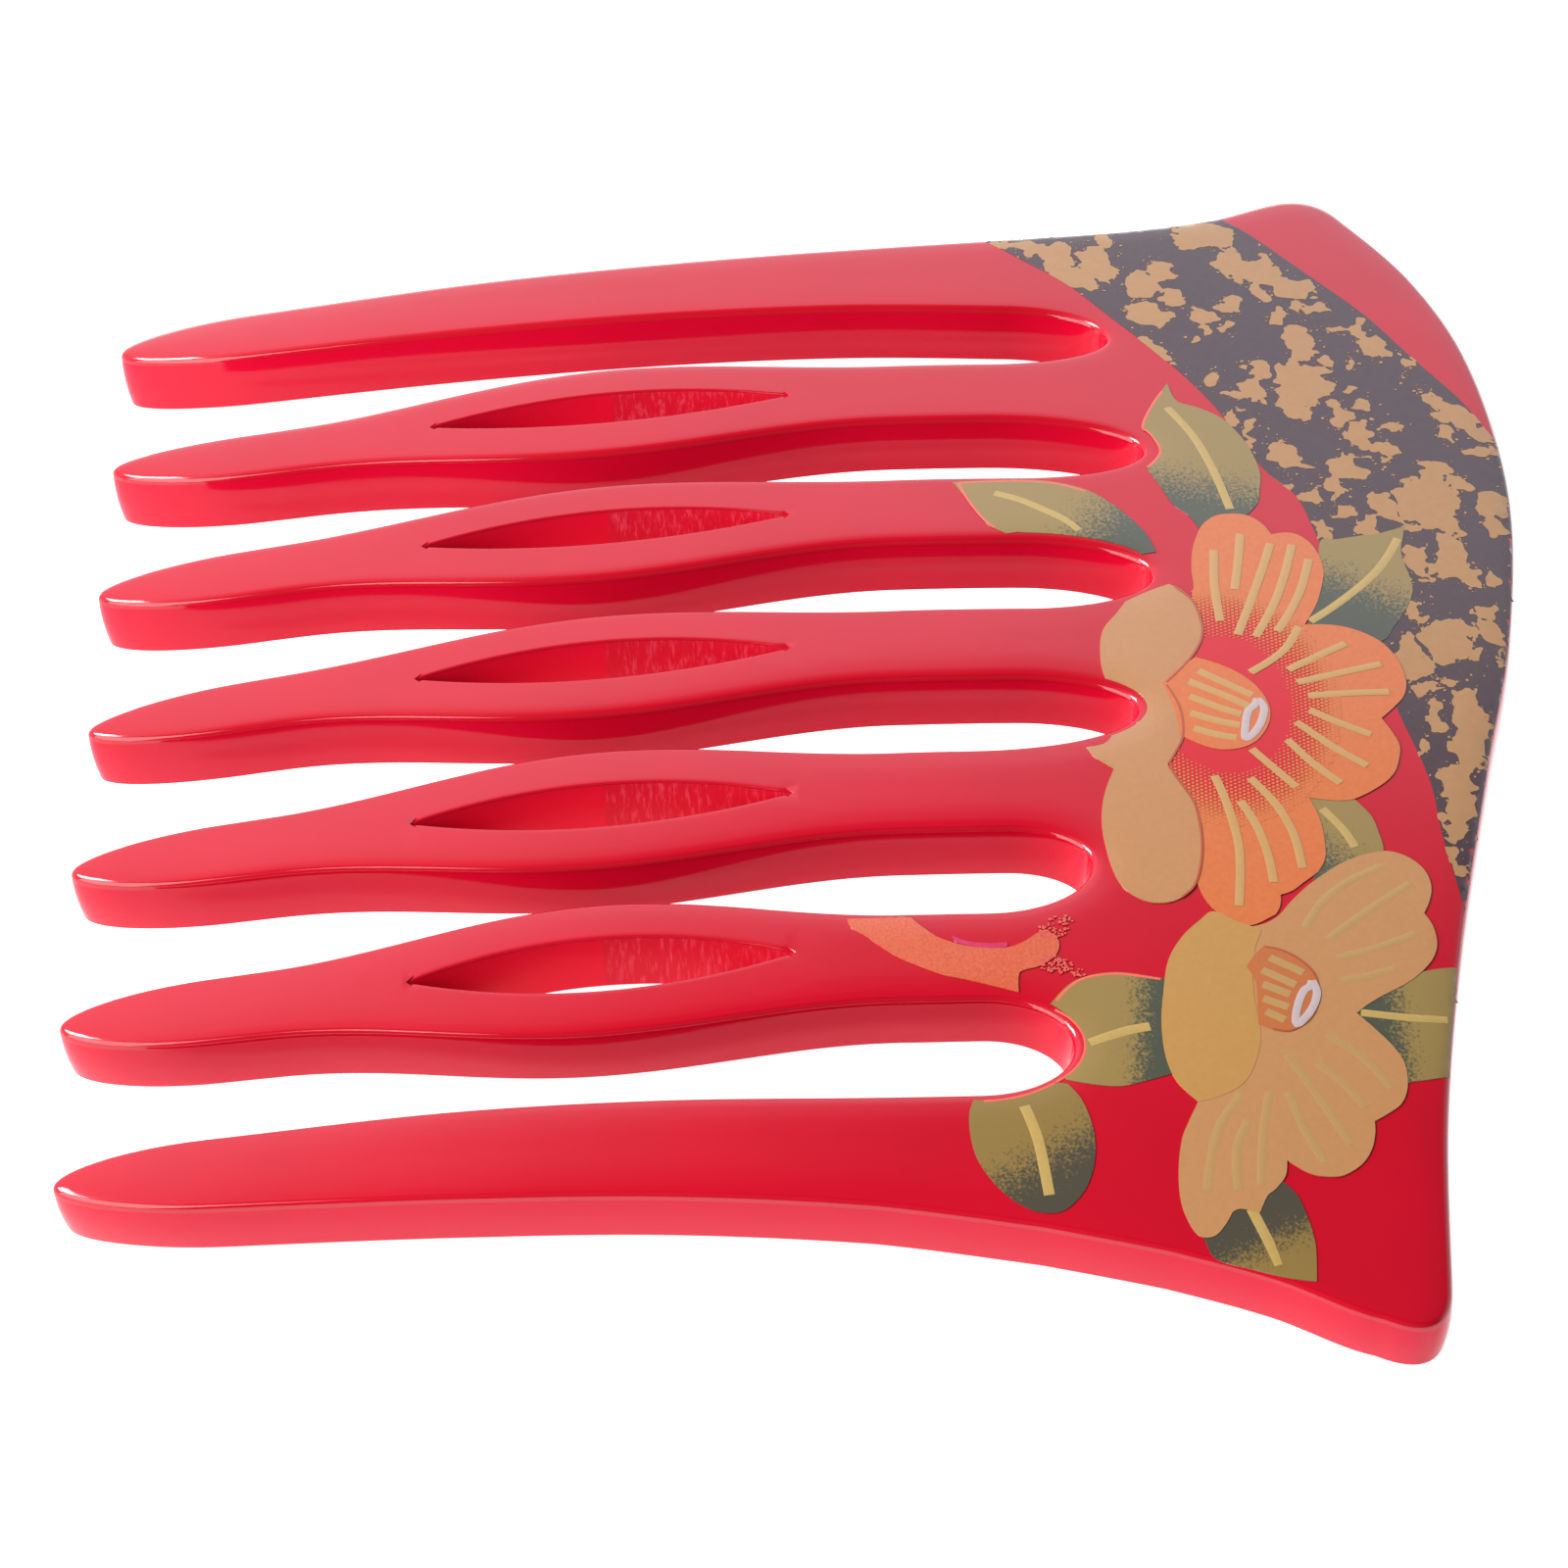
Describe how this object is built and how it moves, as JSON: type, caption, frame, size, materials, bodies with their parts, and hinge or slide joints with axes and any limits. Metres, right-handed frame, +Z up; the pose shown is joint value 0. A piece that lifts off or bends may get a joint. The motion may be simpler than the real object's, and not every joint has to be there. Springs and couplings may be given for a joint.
{
  "type": "dressing comb for the hair",
  "caption": "Curved one-piece acrylic hair comb with wide teeth, pointed eyes through the inner teeth and a wavy crown printed with camellias.",
  "frame": {"origin": "middle of the box round the comb, on the surface that it rests on", "axes": "+X across the teeth, from the first to the last; +Y from the tips to the crown; +Z up, out of the domed printed face"},
  "size_m": [0.0844, 0.0728, 0.0096],
  "materials": {
    "acrylic": "glossy red cast acrylic, polished edges",
    "print": "printed band, leaves, petals and torn gold leaf, under the gloss"
  },
  "bodies": {
    "root": {"comb": "acrylic"}
  },
  "joints": []
}
